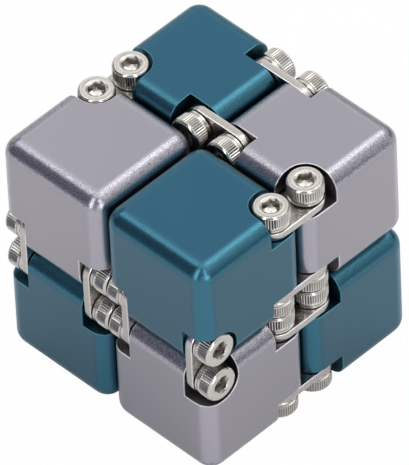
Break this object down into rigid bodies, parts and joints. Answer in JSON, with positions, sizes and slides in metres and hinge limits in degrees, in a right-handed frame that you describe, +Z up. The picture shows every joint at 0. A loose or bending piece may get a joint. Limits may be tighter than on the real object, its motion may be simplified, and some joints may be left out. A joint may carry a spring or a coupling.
{
  "type": "fidget cube",
  "caption": "Folding fidget cube: rounded anodised metal blocks joined in a closed ring by pairs of steel link plates and socket-head screws, shown folded shut.",
  "frame": {"origin": "centre of the square outline of the bottom faces, on the surface the cube stands on", "axes": "+Z up; -Y is the side with the long front hinge line that the upper half folds over; +X to the right seen from that side"},
  "size_m": [0.0406, 0.0406, 0.0408],
  "materials": {
    "teal_anodised": "satin teal anodised aluminium",
    "grey_anodised": "satin grey anodised aluminium",
    "link_steel": "nickel-plated steel link plate",
    "screw_steel": "nickel-plated steel cap screw"
  },
  "bodies": {
    "front_top_block": {"cube_top_front": "teal_anodised", "screw_right_top_outer_top_front": "screw_steel", "screw_right_top_inner_top_front": "screw_steel", "screw_front_right_outer_top_front": "screw_steel", "screw_front_right_inner_top_front": "screw_steel"},
    "left_top_block": {"cube_top_left": "grey_anodised", "screw_left_top_outer_top_left": "screw_steel", "screw_left_top_inner_top_left": "screw_steel", "screw_front_left_outer_top_left": "screw_steel", "screw_front_left_inner_top_left": "screw_steel"},
    "back_top_pair": {"cube_top_right": "grey_anodised", "cube_top_back": "teal_anodised", "screw_left_top_outer_top_back": "screw_steel", "screw_left_top_inner_top_back": "screw_steel", "link_top_outer": "link_steel", "screw_top_outer_top_back": "screw_steel", "screw_top_outer_top_right": "screw_steel", "link_top_inner": "link_steel", "screw_top_inner_top_back": "screw_steel", "screw_top_inner_top_right": "screw_steel", "screw_right_top_outer_top_right": "screw_steel", "screw_right_top_inner_top_right": "screw_steel"},
    "front_bottom_block": {"cube_bottom_front": "grey_anodised", "screw_front_right_outer_bottom_front": "screw_steel", "screw_front_right_inner_bottom_front": "screw_steel", "screw_right_bottom_outer_bottom_front": "screw_steel", "screw_right_bottom_inner_bottom_front": "screw_steel"},
    "left_bottom_block": {"cube_bottom_left": "teal_anodised", "screw_front_left_outer_bottom_left": "screw_steel", "screw_front_left_inner_bottom_left": "screw_steel", "screw_left_bottom_outer_bottom_left": "screw_steel", "screw_left_bottom_inner_bottom_left": "screw_steel"},
    "back_bottom_pair": {"cube_bottom_right": "teal_anodised", "cube_bottom_back": "grey_anodised", "screw_right_bottom_outer_bottom_right": "screw_steel", "screw_right_bottom_inner_bottom_right": "screw_steel", "link_bottom_outer": "link_steel", "screw_bottom_outer_bottom_back": "screw_steel", "screw_bottom_outer_bottom_right": "screw_steel", "link_bottom_inner": "link_steel", "screw_bottom_inner_bottom_back": "screw_steel", "screw_bottom_inner_bottom_right": "screw_steel", "screw_left_bottom_outer_bottom_back": "screw_steel", "screw_left_bottom_inner_bottom_back": "screw_steel"},
    "left_top_links": {"link_left_top_outer": "link_steel", "link_left_top_inner": "link_steel"},
    "right_top_links": {"link_right_top_outer": "link_steel", "link_right_top_inner": "link_steel"},
    "front_left_links": {"link_front_left_outer": "link_steel", "link_front_left_inner": "link_steel"},
    "front_right_links": {"link_front_right_outer": "link_steel", "link_front_right_inner": "link_steel"},
    "right_bottom_links": {"link_right_bottom_outer": "link_steel", "link_right_bottom_inner": "link_steel"},
    "left_bottom_links": {"link_left_bottom_outer": "link_steel", "link_left_bottom_inner": "link_steel"}
  },
  "joints": [
    {"name": "left_door", "type": "hinge", "parent": "back_bottom_pair", "child": "left_bottom_links", "pos_m": [-0.01725, 0.00345, 0.01018], "axis": [0, 0, -1], "range_deg": [0, 90]},
    {"name": "left_door_second_pivot", "type": "hinge", "parent": "left_bottom_links", "child": "left_bottom_block", "pos_m": [-0.01725, -0.00345, 0.01018], "axis": [0, 0, -1], "range_deg": [0, 90]},
    {"name": "top_fold", "type": "hinge", "parent": "left_bottom_block", "child": "front_left_links", "pos_m": [-0.01018, -0.01725, 0.0169], "axis": [1, 0, 0], "range_deg": [0, 90]},
    {"name": "top_fold_second_pivot", "type": "hinge", "parent": "front_left_links", "child": "left_top_block", "pos_m": [-0.01018, -0.01725, 0.0238], "axis": [1, 0, 0], "range_deg": [0, 90]},
    {"name": "left_top_first_pivot", "type": "hinge", "parent": "left_top_block", "child": "left_top_links", "pos_m": [-0.01725, -0.00345, 0.03053], "axis": [0, 0, 1], "range_deg": [0, 90]},
    {"name": "left_top_second_pivot", "type": "hinge", "parent": "left_top_links", "child": "back_top_pair", "pos_m": [-0.01725, 0.00345, 0.03053], "axis": [0, 0, 1], "range_deg": [0, 90]},
    {"name": "right_door", "type": "hinge", "parent": "back_bottom_pair", "child": "right_bottom_links", "pos_m": [0.01725, 0.00345, 0.01018], "axis": [0, 0, 1], "range_deg": [0, 90]},
    {"name": "right_door_second_pivot", "type": "hinge", "parent": "right_bottom_links", "child": "front_bottom_block", "pos_m": [0.01725, -0.00345, 0.01018], "axis": [0, 0, 1], "range_deg": [0, 90]},
    {"name": "front_right_first_pivot", "type": "hinge", "parent": "front_bottom_block", "child": "front_right_links", "pos_m": [0.01018, -0.01725, 0.0169], "axis": [1, 0, 0], "range_deg": [0, 90]},
    {"name": "front_right_second_pivot", "type": "hinge", "parent": "front_right_links", "child": "front_top_block", "pos_m": [0.01018, -0.01725, 0.0238], "axis": [1, 0, 0], "range_deg": [0, 90]},
    {"name": "right_top_pivot", "type": "hinge", "parent": "front_top_block", "child": "right_top_links", "pos_m": [0.01725, -0.00345, 0.03053], "axis": [0, 0, -1], "range_deg": [0, 90]}
  ],
  "couplings": [
    {"joint": "left_door_second_pivot", "follows": "left_door", "ratio": 1},
    {"joint": "left_top_first_pivot", "follows": "left_door", "ratio": 1},
    {"joint": "left_top_second_pivot", "follows": "left_door", "ratio": 1},
    {"joint": "top_fold_second_pivot", "follows": "top_fold", "ratio": 1},
    {"joint": "front_right_first_pivot", "follows": "top_fold", "ratio": 1},
    {"joint": "front_right_second_pivot", "follows": "top_fold", "ratio": 1},
    {"joint": "right_door_second_pivot", "follows": "right_door", "ratio": 1},
    {"joint": "right_top_pivot", "follows": "right_door", "ratio": 1}
  ]
}
